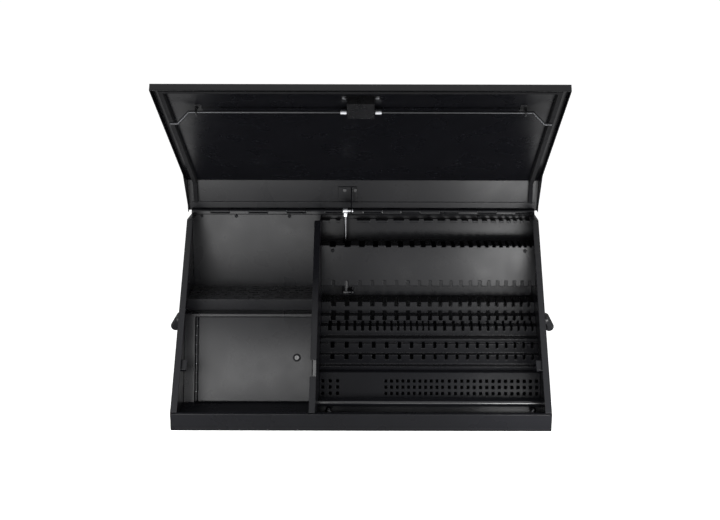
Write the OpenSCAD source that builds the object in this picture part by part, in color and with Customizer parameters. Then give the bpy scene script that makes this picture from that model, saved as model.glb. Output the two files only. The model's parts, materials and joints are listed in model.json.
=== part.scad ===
// Triangle toolbox: a sheet-steel chest with a sloping lid, racks, a lockbox and a rod latch.
// Millimetres. +X right, +Y to the back, +Z up. Origin: centre of the flat underside.
// The lid is drawn open, at rest on its strut.

/* [Body] */
// Outside width of the body
body_w = 914; // [860:1:960]
// Outside depth of the body
body_d = 426; // [410:1:450]
// Height of the back wall
body_h = 443; // [435:1:460]
// Height of the front lip
lip_h = 42; // [36:1:48]
// Depth of the flat part at the top
top_d = 72; // [64:1:80]
// Sheet thickness
sheet = 1.5; // [1.2:0.1:2]
// Inward flange along the sloping edge of each side panel
edge_flange = 16; // [15:1:20]
// Inward return at the top of the front lip
lip_flange = 12; // [8:1:14]
// Gap between the front lip and the flanges that end there
corner_relief = 1; // [0.5:0.5:3]

/* [Lid] */
// Angle between the closed lid and the open lid
lid_open = 81; // [70:1:85]
// How far the lid stands out past each body side
lid_over = 8; // [6:1:10]
// How far the lid stands out past the front lip
lid_front_over = 4; // [3:0.5:8]
// Space between the body's edges and the lid's inner face when closed
lid_gap = 14; // [13:1:16]
// Depth of the lid's edge flange
lid_flange = 16.5; // [16:0.5:18]
// Length of the corner gusset along each flange
gusset = 60; // [30:5:80]
// Width of the foam seal
seal_w = 10; // [8:1:12]
// Distance from the body's outside face to the seal
seal_inset = 9; // [8:1:12]
// Gap that the closed seal keeps from the body's edges
seal_clear = 0.4; // [0.3:0.1:1]

/* [Lid hinge] */
// Diameter of the hinge knuckles
knuckle_d = 13; // [13:0.5:14]
// Diameter of the hinge pin
hinge_pin_d = 5; // [4:0.5:6]
// Width of each hinge leaf
hinge_leaf = 24; // [20:1:30]
// Number of knuckles
knuckles = 18; // [10:2:24]
// Gap between two knuckles
knuckle_gap = 0.6; // [0.4:0.1:1]
// Distance from each end of the hinge to the body's side
hinge_end = 1; // [0.5:0.5:20]
// Gap round a pin that turns
pin_clear = 0.06; // [0.04:0.01:0.1]
// Diameter of the rivets and the screws
rivet_d = 6; // [5:0.5:7]
// Diameter of a rivet's head
rivet_head_d = 8; // [7.5:0.5:9.5]
// Height of a rivet's or a screw's head
rivet_head_h = 2.5; // [2:0.5:4]
// Diameter of a screw's head
screw_head_d = 9; // [8.5:0.5:12]
// Distance from the top of the back wall to the rivets
rivet_drop = 5.5; // [5:0.5:5.5]
// Distance from the left side panel to the first rivet
rivet_in_1 = 26.5; // [20:0.5:40]
// Distance from the left side panel to the second rivet
rivet_in_2 = 118.5; // [90:0.5:140]
// Distance from the left side panel to the third rivet
rivet_in_3 = 259.5; // [200:0.5:270]
// Distance from the right side panel to the fourth rivet
rivet_in_4 = 280.5; // [240:0.5:300]
// Distance from the right side panel to the fifth rivet
rivet_in_5 = 148.5; // [100:0.5:180]
// Gap round a rivet or a screw
hole_clear = 0.1; // [0.05:0.05:0.3]

/* [Divider and left side] */
// Right face of the divider, left of the middle
divider_x = 110; // [90:1:130]
// Flange along the divider's sloping edge
divider_flange = 14; // [10:1:16]
// Length of the divider's notch along the slope
notch_len = 44; // [40:1:60]
// Depth of the divider's notch
notch_depth = 9; // [8:1:14]
// Height of the tool shelf
shelf_z = 245; // [235:1:260]
// Depth of the tool shelf
shelf_d = 132.5; // [120:0.5:140]
// Front flange of the tool shelf
shelf_flange = 30; // [24:1:34]
// Columns of slots in the tool shelf
shelf_columns = 9; // [5:1:11]
// Rows of slots in the tool shelf
shelf_rows = 5; // [3:1:5]
// Length of a slot in the tool shelf
shelf_slot = 18; // [12:1:20]
// Width of a slot in the tool shelf
shelf_slot_w = 6; // [5:0.5:8]

/* [Lockbox] */
// Height of the lockbox
box_h = 216; // [214:1:218]
// Depth from the back wall's outside to the top edge of the lockbox
box_top_d = 168.5; // [160:0.5:175]
// How far the lockbox front leans forward at its foot
box_lean = 74; // [60:1:85]
// Width of the fixed strip at the left of the door
box_strip = 27; // [22:1:34]
// Width of the fixed strip at the right of the door
box_strip_right = 15; // [13:1:18]
// Height of the strip over the door
box_head = 7; // [6:0.5:12]
// Gap round the door
door_gap = 0.8; // [0.6:0.1:1.5]
// Space for the hinge between the left strip and the door
door_hinge_space = 9; // [8.6:0.1:11]
// Return along the door's edges
door_return = 8; // [6:0.5:8]
// Diameter of the door hinge's knuckles
door_knuckle_d = 7; // [6.4:0.2:8]
// Diameter of the door hinge's pin
door_pin_d = 3; // [2.4:0.2:3.6]
// Width of each leaf of the door hinge
door_leaf = 18; // [14:1:22]
// Thickness of the door hinge's leaves
door_leaf_t = 1.2; // [1:0.1:1.4]
// Number of knuckles on the door hinge
door_knuckles = 9; // [5:2:13]
// Distance from the door's free edge to its lock
lock_inset = 40; // [36:1:60]
// Height of the lock up the door
lock_up = 115; // [80:1:140]
// Diameter of the lock body
lock_d = 15; // [14:0.5:17]
// Diameter of the lock's face
lock_face_d = 20; // [19:0.5:24]
// Thickness of the lock's face
lock_face_h = 3; // [2:0.5:4]
// Diameter of the lock's plug
lock_plug_d = 11; // [9:0.5:11.5]
// Width of the lock's cam
lock_cam_w = 14; // [12:1:16]
// Reach of the lock's cam from the middle of the plug
lock_cam_reach = 46; // [44:1:50]
// Thickness of the lock's cam
lock_cam_t = 2; // [1.5:0.5:3]

/* [Right side racks] */
// Distance from the top of the back wall to the top rail's shelf
rail_drop = 10.5; // [10.5:0.5:12]
// Depth of the top rail
rail_d = 28; // [24:1:34]
// Front lip of the top rail
rail_lip = 6; // [5:0.5:8]
// Gap between the top rail's right end and the side panel
rail_end_gap = 14; // [8:1:20]
// Notches in the top rail
rail_notches = 17; // [8:1:18]
// Share of the top rail's depth that a notch takes
rail_notch_share = 0.8; // [0.6:0.05:0.85]
// Width of the widest notch in the top rail
rail_notch_w0 = 16; // [12:0.5:17]
// Width of the narrowest notch in the top rail
rail_notch_w1 = 6.5; // [4:0.5:7]
// Ratio of one space between notches to the space before it
rail_grade = 0.92; // [0.9:0.01:0.98]
// Distance from the divider to the rails' first notch or slot
rail_row_left = 31; // [26:1:40]
// Distance from the top rail's right end to its last notch
rail_row_right = 15; // [10:1:18]
// Height of the second rail
rail2_z = 375; // [365:1:385]
// Depth of the second rail
rail2_d = 72.5; // [66:0.5:80]
// Height of the second rail's front panel
rail2_panel = 110; // [100:1:120]
// Slots in the second rail
rail2_slots = 22; // [10:1:24]
// Width of the widest slot in the second rail
rail2_slot_w0 = 16; // [12:0.5:17]
// Width of the narrowest slot in the second rail
rail2_slot_w1 = 5.5; // [4:0.5:7]
// Ratio of one space between the second rail's slots to the space before it
rail2_grade = 0.95; // [0.92:0.01:0.98]
// Distance from the side panel to the second rail's last slot
rail2_row_right = 16; // [10:1:20]
// How far a slot in the second rail reaches back from the front edge
rail2_slot = 58; // [50:1:62]
// How far a slot in the second rail reaches down its panel
rail2_slot_down = 4; // [3:0.5:6]
// Width of the slots in the foot of that panel
foot_slot_w = 7; // [5:0.5:8]
// How far these slots reach up from the panel's foot
foot_slot_up = 15; // [10:1:20]
// Distance from the ends of the second rail's panel to its screws
panel_screw_inset = 31.5; // [24:0.5:36]
// Distance from the second rail down to its screws
panel_screw_drop = 14; // [10:1:20]
// Height of the upper rack's first step
rack_z = 220; // [216:1:222]
// Depth of the upper rack's first step, from the back wall
rack_first_d = 67; // [62:0.5:70]
// How far a slot reaches back in that step
rack_first_slot = 52; // [40:1:56]
// Depth of each further step of the upper rack
rack_step_d = 28; // [26:0.5:30]
// Drop of one step of the upper rack
rack_step_h = 25; // [22:0.5:26]
// How much further down the upper rack's second step lies
rack_shift = 5; // [3:0.5:6]
// Steps of the upper rack
rack_steps = 4; // [3:1:4]
// Overlap of each rack with the sheet in front of it
rack_lap = 8; // [6:0.5:10]
// Depth of one step of the lower rack
low_step_d = 18; // [14:0.5:20]
// Drop of one step of the lower rack
low_step_h = 25; // [20:0.5:26]
// Steps of the lower rack
low_steps = 2; // [1:1:2]
// Drop from the upper rack's front edge to the lower rack's first step
low_drop = 11; // [10:0.5:14]
// Slots in a full row of the upper rack
rack_slots = 20; // [8:1:22]
// Width of the widest slot in the upper rack
rack_slot_w0 = 12; // [9:0.5:13]
// Width of the narrowest slot in the upper rack
rack_slot_w1 = 6; // [4:0.5:7]
// Slots in the left half of the upper rack's last row
fine_slots_left = 15; // [8:1:16]
// Slots in the right half of the upper rack's last row
fine_slots_right = 13; // [8:1:14]
// Width of the widest slot in the upper rack's last row
fine_slot_w0 = 8; // [6:0.5:9]
// Width of the narrowest slot in the upper rack's last row
fine_slot_w1 = 4; // [3:0.5:6]
// Half of the plain space between the two halves of that row
fine_gap = 8; // [6:1:12]
// Slots in a row of the lower rack
low_slots = 19; // [8:1:21]
// Width of the widest slot in the lower rack
low_slot_w0 = 10; // [8:0.5:11]
// Width of the narrowest slot in the lower rack
low_slot_w1 = 5; // [4:0.5:7]
// Ratio of one space between the racks' slots to the space before it
rack_grade = 0.97; // [0.95:0.01:0.99]
// Distance from the divider to the racks' first slot
rack_row_left = 32; // [28:1:36]
// Distance from the side panel to the racks' last slot
rack_row_right = 15; // [10:1:18]
// How far a slot of the lower rack reaches back from a step's edge
slot_in = 12; // [8:0.5:14]
// How far a slot reaches down from a step's edge
slot_down = 12; // [8:0.5:13]
// How far a slot of the upper rack reaches up the sheet behind its step
slot_up = 6; // [4:0.5:8]
// Depth of the small tool rack's top
small_top = 20; // [14:1:24]
// How far the small tool rack leans forward at its foot
small_lean = 24; // [16:1:30]
// Foot of the small tool rack
small_foot = 13; // [8:1:14]
// Side of a square hole in the small tool rack
small_hole = 7; // [5:0.5:8]
// Height of the small tool rack's lowest row of holes
small_row_z = 20; // [16:1:22]
// Distance between the rows of holes
small_row_pitch = 15; // [12:0.5:15.5]
// Rows of holes
small_rows = 3; // [1:1:3]
// Holes in each row of the left group
small_left = 3; // [2:1:4]
// Holes in each row of the middle group
small_middle = 11; // [4:1:12]
// Holes in each row of the right group
small_right = 15; // [4:1:18]
// Distance from the rack's ends to the outer groups
small_end = 9; // [7:0.5:12]
// Length of the left group
small_left_l = 38; // [30:1:44]
// Length of the middle group
small_middle_l = 145; // [120:1:150]
// Length of the right group
small_right_l = 224; // [180:1:230]
// Plain space between the middle and the right group
small_space = 17; // [14:1:24]
// Distance from the small tool rack's foot to the front ledge
ledge_gap = 33.5; // [26:0.5:40]
// Depth of the front ledge
ledge_d = 28; // [24:1:30]
// Height of the front ledge
ledge_h = 33; // [28:1:38]
// Radius of the front ledge's nose
ledge_nose = 8; // [6:0.5:10]
// Diameter of the ledge bolts' heads
ledge_bolt_d = 13; // [10:1:14]
// Distance from the front ledge's ends to its bolts
ledge_bolt_inset = 27; // [20:1:34]

/* [Gas strut] */
// Middle of the strut, left of the middle of the box
strut_x = 46; // [40:1:60]
// Distance from the hinge line forward to the strut's lid pivot, lid open
strut_top_y = 46; // [42:1:50]
// Height of the strut's lid pivot over the hinge line, lid open
strut_top_z = 10; // [6:1:12]
// Distance from the hinge line forward to the strut's body pivot
strut_low_y = 31; // [28:1:34]
// Height of the strut's body pivot
strut_low_z = 235; // [228:1:240]
// Diameter of the strut's cylinder
strut_d = 18; // [16:1:22]
// Diameter of the strut's rod
strut_rod_d = 8; // [7:0.5:9]
// Distance from the back wall to the strut's slot in the second rail
strut_slot_in = 4; // [3:0.5:8]
// Length of the strut's slot in the second rail
strut_slot = 40; // [36:1:44]
// Length of the strut's cylinder
strut_len = 111; // [100:1:116]
// Diameter of the strut's end fittings
strut_end_d = 16; // [14:1:18]
// Width of the strut's end fittings
strut_end_w = 12; // [10:1:14]
// Diameter of the strut's studs
strut_stud_d = 8; // [6:0.5:9]
// Distance from the strut to the plate that carries its stud
strut_ear_gap = 8; // [7:0.5:12]
// Length of the neck between the strut's end fittings and its tube or rod
strut_neck = 6; // [4:0.5:8]
// Thickness of the strut's brackets
ear_t = 3; // [2.5:0.5:4]
// Height of the strut's lower bracket
bracket_h = 60; // [50:1:70]
// Width of the strut's lid bracket
ear_base_w = 49; // [44:1:54]
// Distance from the lid's bend to the strut's lid bracket
ear_base_in = 12; // [8:1:14]
// Gap between the lid's stud and the strut's rod end
stud_gap = 0.8; // [0.4:0.1:0.9]

/* [Latch] */
// Distance from the front lip to the latch rods, along the slope
rod_q = 108; // [100:1:116]
// Distance from the lid's inner face to the latch rods
rod_off = 12; // [11:0.5:13]
// Diameter of the latch rods
rod_d = 6; // [5:0.5:7]
// Distance from the body's outside face to the rod's tip
rod_tip_gap = 17; // [15:1:20]
// Length of the straight tip
rod_tip = 18; // [16:1:24]
// Length of the jog along the rod
rod_jog = 27; // [20:1:32]
// Rise of the jog up the slope
rod_jog_q = 22; // [16:1:26]
// Drop of the jog away from the lid
rod_jog_n = 18.5; // [18:0.5:22]
// Travel of each rod
rod_travel = 13; // [12.5:0.5:14]
// Width of the latch housing
housing_w = 62; // [56:1:70]
// Length of the latch housing along the slope
housing_l = 74; // [64:1:80]
// Depth of the latch housing
housing_h = 22; // [20:1:26]
// Distance from the rods to the housing's upper end
housing_past = 14; // [12:1:18]
// Diameter of the rod ends' couplings
coupling_d = 12; // [10:1:13]
// Length of the rod ends' couplings
coupling_l = 14; // [10:1:16]
// Gap between the coupling and the housing at rest
coupling_gap = 2; // [1:0.5:4]
// Radius of the latch's cam
latch_cam_r = 12; // [10:0.5:12]
// Diameter of the latch's spindle
spindle_d = 11; // [10:1:13]
// Diameter of the plate under the turning handle
rose_d = 64; // [54:1:70]
// Thickness of the plate under the turning handle
rose_h = 3; // [2:0.5:4]
// Length of the turning handle
tee_l = 92; // [80:1:110]
// Width of the turning handle
tee_w = 18; // [17:1:22]
// Height of the turning handle's bar
tee_h = 12; // [10:1:14]
// Height of the turning handle's stem
tee_stem = 10; // [8:1:14]
// Diameter of the turning handle's lock plug
tee_plug_d = 10; // [8:1:10]
// Inner reach of the strikers from the body's outside face
striker_reach = 29; // [28:0.5:29.5]
// Length of the strikers along the slope
striker_l = 30; // [24:1:36]
// Thickness of the strikers
striker_t = 2.5; // [2:0.5:3]
// Gap between a striker and the rod's tip under it
striker_gap = 1; // [0.6:0.1:1.5]
// Distance from a striker's lip to the lower edge of its wall plate
striker_web = 20; // [16:1:26]

/* [Handles] */
// Distance from the back wall to the middle of the handles
handle_back = 129; // [110:1:150]
// Height of the handles' pivots
handle_z = 206; // [190:1:220]
// Length of the handles' base plates
handle_base_l = 150; // [144:1:170]
// Height of the handles' base plates
handle_base_h = 44; // [40:1:50]
// Thickness of the handles' base plates
handle_base_t = 2.5; // [2:0.5:4]
// Distance from the side panel to the handles' pivots
handle_pivot = 14; // [12:1:16]
// Distance between the inside faces of the ears
handle_ear_span = 116; // [112:1:120]
// Distance out from the pivot to the middle of the grip
grip_out = 9; // [8:1:12]
// Distance down from the pivot to the middle of the grip
grip_down = 21; // [19:1:26]
// Diameter of the bail's wire
bail_d = 9; // [8:0.5:10]
// Diameter of the grip
grip_d = 24; // [20:1:26]
// Length of the grip
grip_l = 90; // [70:1:92]
// Ribs on the grip
grip_ribs = 12; // [6:1:16]
// Depth of the grooves between the ribs
grip_groove = 2; // [1:0.5:3]
// Diameter of the pivot pins
handle_pin_d = 6; // [5:0.5:7]

/* [Hidden] */
$fn = 48;
coat = "#1d1e20";
steel = "#c9ccd0";
rubber = "#141414";
over = 1;

half_w = body_w / 2;
inner_w = half_w - sheet;
y_back = body_d / 2;
y_front = -y_back;
wall_y = y_back - sheet;
slope = atan2(body_h - lip_h, body_d - top_d);
slope_len = norm([body_h - lip_h, body_d - top_d]);
flange_q = (sheet + corner_relief) / cos(slope);
lip_q = (lip_flange + corner_relief) / cos(slope);

strip_z = body_h + lid_gap;
axis_y = y_back + knuckle_d / 2;
axis_z = body_h + lid_gap / 2;
lid_half = half_w + lid_over;
lid_out = lid_gap + sheet;
lid_free = lid_flange - lid_out;
seal_x = half_w - seal_inset;

hinge_half = half_w - hinge_end;
hinge_pitch = 2 * hinge_half / knuckles;
hinge_t = sheet;
rivet_z = body_h - rivet_drop;

right_x0 = -divider_x;
left_x1 = -divider_x - sheet;
left_rivets = [rivet_in_1 - inner_w, rivet_in_2 - inner_w, rivet_in_3 - inner_w];
right_rivets = [inner_w - rivet_in_4, inner_w - rivet_in_5];
shelf_stagger = [0.9, 0.6];
shelf_y = wall_y - shelf_d;

lean = atan2(box_lean, box_h - sheet);
lean_len = norm([box_lean, box_h - sheet]);
box_y1 = y_back - box_top_d;
box_y0 = box_y1 - box_lean;
foot_lift = sheet * tan(lean) + door_gap / 4;
door_axis_x = -inner_w + box_strip + door_hinge_space / 2;
door_x0 = -inner_w + box_strip + door_hinge_space;
door_x1 = left_x1 - box_strip_right - door_gap;
door_z0 = door_return * tan(lean) + door_gap;
door_z1 = lean_len - box_head - door_gap;
door_pitch = (door_z1 - door_z0) / door_knuckles;
lock_x = door_x1 - lock_inset;
cam_y = door_return + corner_relief;
key_share = 0.7;

rail_z = body_h - rail_drop;
rail_right = inner_w - rail_end_gap;
panel2_y = wall_y - rail2_d;
panel2_z = rail2_z - rail2_panel;
panel_screw_x = [right_x0 + panel_screw_inset, inner_w - panel_screw_inset];
panel_screw_z = rail2_z - panel_screw_drop;
rack_end_y = step_y(rack_steps - 1);
rack_end_z = rack_z - (rack_steps - 1) * rack_step_h;
rack_left = right_x0 + rack_row_left;
rack_right = inner_w - rack_row_right;
rack_middle = (rack_left + rack_right) / 2;
low_y = rack_end_y + sheet;
low_z = rack_end_z - low_drop;
low_first_d = low_step_d / 2;
low_end_y = low_y - low_first_d - low_steps * low_step_d;
low_end_z = low_z - low_steps * low_step_h;
small_y = low_end_y + sheet;
small_z = low_end_z - rack_lap - sheet;
small_front = small_y - small_top;
small_right_x = inner_w - small_end - small_right_l;
small_middle_x = small_right_x - small_space - small_middle_l;
// Groups of holes: how many in a row, from where, how long
small_groups = [
    [small_left, right_x0 + small_end, small_left_l], [small_middle, small_middle_x, small_middle_l],
    [small_right, small_right_x, small_right_l]
];
small_foot_y = small_front - small_lean;
ledge_back = small_foot_y - small_foot - ledge_gap;
ledge_y = ledge_back - ledge_d;
ledge_bolt_y = ledge_back - ledge_d / 2;
ledge_bolt_x = [right_x0 + ledge_bolt_inset, inner_w - ledge_bolt_inset];
washer_d = 1.4 * ledge_bolt_d;

strut_ball = [-strut_x, axis_y - strut_top_y, axis_z + strut_top_z];
strut_foot = [-strut_x, axis_y - strut_low_y, strut_low_z];
strut_reach = norm(strut_ball - strut_foot);
strut_tilt = atan2(strut_foot[1] - strut_ball[1], strut_ball[2] - strut_foot[2]);
strut_base = strut_end_d / 2 + strut_neck;
strut_top = strut_base + strut_len;
strut_wall = 1.5;
strut_guide = 10;
piston_h = 6;
piston_gap = 4;
piston_z = strut_top - strut_guide - piston_h - piston_gap;
stud_head_d = 1.6 * strut_stud_d;
ear_x = -strut_x + strut_end_w / 2 + strut_ear_gap;
closed_y = axis_y - strut_top_y * cos(lid_open) - strut_top_z * sin(lid_open);
closed_z = axis_z - strut_top_y * sin(lid_open) + strut_top_z * cos(lid_open);
ear_base_y0 = y_back - top_d + ear_base_in;
ear_base_y1 = axis_y - hinge_leaf - corner_relief;

rod_n = rod_off - lid_gap;
tip_x = half_w - rod_tip_gap;
jog_x1 = tip_x - rod_tip;
jog_x0 = jog_x1 - rod_jog;
tip_q = rod_q + rod_jog_q;
tip_n = rod_n + rod_jog_n;
guide_t = 3;
guide_x = jog_x0 - rod_travel - 2 * guide_t;
guide_foot = 34;
guide_w = 22;
housing_q1 = rod_q + housing_past;
housing_q0 = housing_q1 - housing_l;
housing_wall = 1.5;
tab_w = 13;
tab_l = 16;
tab_q = housing_q0 + tab_l / 2;
tab_x = housing_w / 2 + tab_w / 2;
striker_n = tip_n - rod_d / 2 - striker_gap;
striker_x = half_w - striker_reach;
striker_screw_q = [tip_q - striker_l / 3, tip_q + striker_l / 3];
striker_screw_n = striker_n + striker_web - striker_l / 4;
spindle_end = rod_off - lid_out;
tee_z = rose_h + tee_stem;

handle_y = y_back - handle_back;
handle_x = half_w + handle_pivot;
handle_top = handle_z + handle_base_h / 8;
bail_eye_w = 5;
bail_eye_r = 7;
bail_y = handle_ear_span / 2 - bail_eye_w / 2 - door_gap;
bail_arm_w = 1.6 * bail_eye_r;
ear_plate = 3;
ear_drop = 9;
handle_screw_out = (handle_ear_span / 2 + ear_plate + handle_base_l / 2) / 2;
handle_screw_y = [handle_y - handle_screw_out, handle_y + handle_screw_out];
handle_screw_z = handle_top - handle_base_h / 2;
// Shape of one rib of the grip: share of the pitch, share of the groove's depth
rib_shape = [[0, 0], [0.6, 0], [0.7, 1], [0.9, 1]];

// Places and rules

function slope_pt(q, n) = [
    y_front + q * cos(slope) + n * sin(slope),
    lip_h + q * sin(slope) - n * cos(slope)
];

// Point where the line n below the slope reaches height z
function slope_at(n, z) = slope_pt((z - lip_h + n * cos(slope)) / sin(slope), n);

function left_of(a, b) = [a[1] - b[1], b[0] - a[0]] / norm(b - a);

function mitre(m, n) = (m + n) / (1 + m * n);

function bend(p, i) =
    i == 0 ? left_of(p[0], p[1])
    : i == len(p) - 1 ? left_of(p[i - 1], p[i])
    : mitre(left_of(p[i - 1], p[i]), left_of(p[i], p[i + 1]));

// Outline of a folded sheet: the path is its outer face, and the thickness lies to the left
function folded(p, t) = concat(
    p,
    [for (i = [len(p) - 1 : -1 : 0]) p[i] + t * bend(p, i)]
);

// Places that crowd together from a to b, each step a share r of the one before
function graded(n, r, a, b) = [for (i = [0 : n - 1]) a + (b - a) * (1 - pow(r, i)) / (1 - pow(r, n - 1))];

// Sizes that shrink evenly from a to b
function shrinking(n, a, b) = [for (i = [0 : n - 1]) a + (b - a) * i / (n - 1)];

// Front edge of a step of the upper rack, counted from its top
function step_y(i) = wall_y - rack_first_d - rack_step_d * i;

// Height of that step
function step_z(i) = rack_z - rack_step_h * i - (i == 1 ? rack_shift : 0);

module block(a, b) {
    translate(a) cube(b - a);
}

module along_x(x0, x1, outline) {
    translate([x0, 0, 0]) rotate([90, 0, 90]) linear_extrude(height = x1 - x0) polygon(outline);
}

module pin_x(x0, x1, y, z, d) {
    translate([x0, y, z]) rotate([0, 90, 0]) cylinder(d = d, h = x1 - x0);
}

module pin_y(x, y0, y1, z, d) {
    translate([x, y0, z]) rotate([-90, 0, 0]) cylinder(d = d, h = y1 - y0);
}

module run(a, b, d) {
    v = b - a;
    translate(a) rotate([0, acos(v[2] / norm(v)), atan2(v[1], v[0])]) cylinder(d = d, h = norm(v));
}

module on_slope(q, n) {
    translate([0, y_front, lip_h]) rotate([slope, 0, 0]) translate([0, q, -n]) children();
}

module opened() {
    translate([0, axis_y, axis_z]) rotate([-lid_open, 0, 0]) translate([0, -axis_y, -axis_z]) children();
}

module on_lid(q, n) {
    opened() on_slope(q, n) children();
}

module on_box() {
    translate([0, box_y0, sheet]) rotate([-lean, 0, 0]) children();
}

module on_strut() {
    translate(strut_foot) rotate([strut_tilt, 0, 0]) children();
}

module right_or_left(side) {
    if (side > 0) children();
    else mirror([1, 0, 0]) children();
}

module rivet_holes(xs, y0, y1) {
    for (x = xs) pin_y(x, y0, y1, rivet_z, rivet_d + 2 * hole_clear);
}

// Body

module body_shell() {
    path = [
        [y_front + lip_flange, lip_h], [y_front, lip_h], [y_front, 0], [y_back, 0], [y_back, body_h]
    ];
    color(coat) difference() {
        along_x(-inner_w, inner_w, folded(path, sheet));
        rivet_holes(concat(left_rivets, right_rivets), wall_y - over, y_back + over);
        ledge_bolt_holes(-over, sheet + over);
    }
}

module side_panel() {
    outline = [
        [y_back, 0], [y_back, body_h], [y_back - top_d, body_h], [y_front, lip_h], [y_front, 0]
    ];
    rear = wall_y - 2 * sheet - corner_relief;
    flange = [[rear, body_h], [y_back - top_d, body_h], slope_pt(flange_q, 0)];
    room = concat(
        [for (i = [0 : len(flange) - 1]) flange[i] + sheet * bend(flange, i)],
        [slope_pt(flange_q, -over), slope_pt(-2 * over, -over), [y_front - 2 * over, -over]],
        [[y_back + over, -over], [y_back + over, body_h + over], [rear, body_h + over]]
    );
    difference() {
        along_x(half_w - edge_flange, half_w, outline);
        along_x(half_w - edge_flange - over, inner_w, room);
        handle_screw_holes();
        striker_screw_holes();
    }
}

module left_side_panel() {
    color(coat) right_or_left(-1) side_panel();
}

module right_side_panel() {
    color(coat) right_or_left(1) side_panel();
}

module divider() {
    front = y_front + lip_flange + corner_relief;
    under_lip = lip_h - sheet - corner_relief;
    outline = [
        [wall_y, sheet], [wall_y, body_h - sheet], slope_at(0, body_h - sheet), slope_pt(lip_q, 0),
        [front, under_lip], [y_front + sheet, under_lip], [y_front + sheet, sheet]
    ];
    color(coat) difference() {
        union() {
            along_x(left_x1, right_x0, outline);
            on_slope(0, 0) block(
                [left_x1 - divider_flange, flange_q, -sheet],
                [left_x1 + sheet / 2, slope_len - 2 * sheet, 0]
            );
        }
        on_slope(rod_q, 0) block(
            [left_x1 - divider_flange - over, -notch_len / 4, -notch_depth],
            [right_x0 + over, notch_len * 3 / 4, over]
        );
    }
}

// Left half

module round_slot(l, w, h) {
    translate([-l / 2, -w / 2, 0]) cube([l, w, h]);
    for (x = [-l / 2, l / 2]) translate([x, 0, 0]) cylinder(d = w, h = h);
}

module tool_shelf() {
    path = [[wall_y, shelf_z], [shelf_y, shelf_z], [shelf_y, shelf_z - shelf_flange]];
    width = inner_w + left_x1;
    step_x = width / (shelf_columns + 0.5);
    step_y = shelf_d / (shelf_rows + 1);
    color(coat) difference() {
        along_x(-inner_w, left_x1, folded(path, sheet));
        for (i = [0 : shelf_columns - 1], j = [1 : shelf_rows])
            translate([
                -inner_w + step_x * (i + shelf_stagger[j % 2]),
                shelf_y + step_y * j,
                shelf_z - sheet - over
            ]) round_slot(shelf_slot, shelf_slot_w, sheet + 2 * over);
    }
}

module lockbox_front() {
    path = [
        [shelf_y, box_h], [box_y1, box_h],
        [box_y0 + foot_lift * sin(lean), sheet + foot_lift * cos(lean)]
    ];
    jamb_x = door_x1 + door_gap;
    color(coat) union() {
        difference() {
            along_x(-inner_w, left_x1, folded(path, sheet));
            on_box() block(
                [-inner_w + box_strip, -over, -over], [jamb_x, sheet + over, lean_len - box_head]
            );
        }
        on_box() block([jamb_x, sheet / 2, door_z0], [jamb_x + sheet, door_return, door_z1]);
    }
}

module door_knuckle_row(first) {
    for (i = [first : 2 : door_knuckles - 1])
        translate([door_axis_x, 0, door_z0 + i * door_pitch + knuckle_gap / 2])
            cylinder(d = door_knuckle_d, h = door_pitch - knuckle_gap);
}

module door_knuckle_room(first) {
    for (i = [first : 2 : door_knuckles - 1])
        translate([door_axis_x, 0, door_z0 + i * door_pitch - knuckle_gap / 2])
            cylinder(d = door_knuckle_d + 2 * knuckle_gap, h = door_pitch + knuckle_gap);
}

module door_pin_bore() {
    translate([door_axis_x, 0, door_z0 - over])
        cylinder(d = door_pin_d + 2 * pin_clear, h = door_z1 - door_z0 + 2 * over);
}

module door_hinge_frame_leaf() {
    color(coat) on_box() difference() {
        union() {
            difference() {
                block([door_axis_x - door_leaf, sheet, door_z0], [door_axis_x, sheet + door_leaf_t, door_z1]);
                door_knuckle_room(1);
            }
            door_knuckle_row(0);
        }
        door_pin_bore();
    }
}

module door_hinge_door_leaf() {
    color(coat) on_box() difference() {
        union() {
            difference() {
                block([door_axis_x, sheet, door_z0], [door_axis_x + door_leaf, sheet + door_leaf_t, door_z1]);
                door_knuckle_room(0);
            }
            door_knuckle_row(1);
        }
        door_pin_bore();
    }
}

module door_hinge_pin() {
    color(steel) on_box() translate([door_axis_x, 0, door_z0])
        cylinder(d = door_pin_d, h = door_z1 - door_z0);
}

module lockbox_door() {
    edge_x = door_axis_x + door_leaf + sheet;
    color(coat) on_box() difference() {
        union() {
            block([door_x0, 0, door_z0], [door_x1, sheet, door_z1]);
            block([door_x1 - sheet, 0, door_z0], [door_x1, door_return, door_z1]);
            for (z = [door_z0, door_z1 - sheet])
                block([edge_x, 0, z], [door_x1, door_return, z + sheet]);
        }
        pin_y(lock_x, -over, sheet + over, lock_up, lock_d + 2 * hole_clear);
    }
}

module door_lock_body() {
    color(steel) on_box() difference() {
        union() {
            pin_y(lock_x, -lock_face_h, 0, lock_up, lock_face_d);
            pin_y(lock_x, -lock_face_h, door_return, lock_up, lock_d);
        }
        pin_y(lock_x, -lock_face_h - over, door_return + over, lock_up, lock_plug_d + 2 * pin_clear);
    }
}

module door_lock_plug() {
    key_h = lock_plug_d * key_share;
    key_w = sheet;
    color(steel) on_box() difference() {
        pin_y(lock_x, -lock_face_h, cam_y, lock_up, lock_plug_d);
        block(
            [lock_x - key_w / 2, -lock_face_h - over, lock_up - key_h / 2],
            [lock_x + key_w / 2, 0, lock_up + key_h / 2]
        );
    }
}

module door_lock_cam() {
    color(steel) on_box() union() {
        pin_y(lock_x, cam_y, cam_y + lock_cam_t, lock_up, lock_cam_w);
        block(
            [lock_x - lock_cam_w / 2, cam_y, lock_up],
            [lock_x + lock_cam_w / 2, cam_y + lock_cam_t, lock_up + lock_cam_reach]
        );
    }
}

// Right half

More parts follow.
